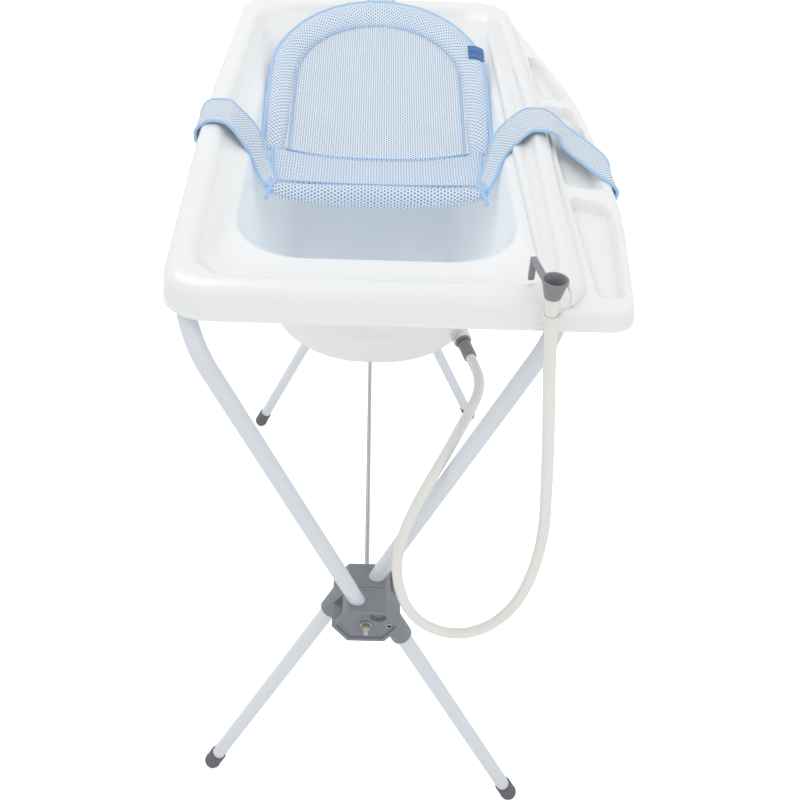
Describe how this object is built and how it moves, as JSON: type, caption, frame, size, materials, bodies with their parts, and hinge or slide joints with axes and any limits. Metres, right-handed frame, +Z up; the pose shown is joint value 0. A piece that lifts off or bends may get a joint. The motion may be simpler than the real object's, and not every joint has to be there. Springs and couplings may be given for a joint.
{
  "type": "baby bath on folding stand",
  "caption": "Moulded baby bath with a side shelf on a folding X-shaped tube stand, with a mesh bath support and a drain hose hooked over its rim.",
  "frame": {"origin": "on the floor, under the middle of the object's box, measured without the hose and its fittings", "axes": "+Z up; +Y from the foot end, where the drain is, to the head end; +X towards the side shelf"},
  "size_m": [0.528, 0.9597, 0.955],
  "materials": {
    "white_tube": "gloss powder coat",
    "foot_rubber": "matt",
    "hub_plastic": "satin moulded",
    "zinc_steel": "zinc plated",
    "nut_brass": "yellow zinc",
    "tub_plastic": "glossy moulded",
    "grey_plastic": "satin moulded",
    "hose_vinyl": "milky soft vinyl",
    "blue_mesh": "open knitted mesh with woven binding",
    "hook_plastic": "satin moulded",
    "tag_cloth": "woven tag, plain"
  },
  "bodies": {
    "axle": {"axle_rod": "zinc_steel", "axle_washers": "zinc_steel", "axle_nuts": "nut_brass"},
    "outer_frame": {"left_rail_tube": "white_tube", "front_right_leg": "white_tube", "rear_right_leg": "white_tube", "front_right_foot_cap": "foot_rubber", "rear_right_foot_cap": "foot_rubber", "front_outer_hub": "hub_plastic", "rear_outer_hub": "hub_plastic", "outer_leg_rivets": "zinc_steel"},
    "inner_frame": {"right_rail_tube": "white_tube", "front_left_leg": "white_tube", "rear_left_leg": "white_tube", "front_left_foot_cap": "foot_rubber", "rear_left_foot_cap": "foot_rubber", "front_inner_hub": "hub_plastic", "rear_inner_hub": "hub_plastic", "inner_leg_rivets": "zinc_steel"},
    "bath": {"tub_shell": "tub_plastic", "drain_spigot": "grey_plastic", "hose_collar": "grey_plastic", "drain_hose": "hose_vinyl", "hose_mouthpiece": "grey_plastic", "mouthpiece_tether": "hose_vinyl"},
    "bath_support": {"support_back_panel": "blue_mesh", "support_bolster": "blue_mesh", "support_seat": "blue_mesh", "support_front_roll": "blue_mesh", "left_strap": "blue_mesh", "right_strap": "blue_mesh", "head_strap": "blue_mesh", "left_strap_hook": "hook_plastic", "right_strap_hook": "hook_plastic", "head_strap_hook": "hook_plastic", "support_tag": "tag_cloth"}
  },
  "joints": [
    {"name": "stand_fold", "type": "hinge", "parent": "axle", "child": "outer_frame", "pos_m": [-0.0215, 0, 0.434], "axis": [0, 1, 0], "range_deg": [0, 22]},
    {"name": "inner_frame_fold", "type": "hinge", "parent": "axle", "child": "inner_frame", "pos_m": [-0.0215, 0, 0.434], "axis": [0, 1, 0], "range_deg": [-22, 0]},
    {"name": "bath_lift_off", "type": "slide", "parent": "axle", "child": "bath", "axis": [0, 0, 1], "range_m": [0, 0.7]},
    {"name": "support_lift_off", "type": "slide", "parent": "bath", "child": "bath_support", "axis": [0, 0, 1], "range_m": [0, 0.25]}
  ],
  "couplings": [
    {"joint": "inner_frame_fold", "follows": "stand_fold", "ratio": -1},
    {"joint": "bath_lift_off", "follows": "stand_fold", "m_per_rad": 1.823}
  ]
}
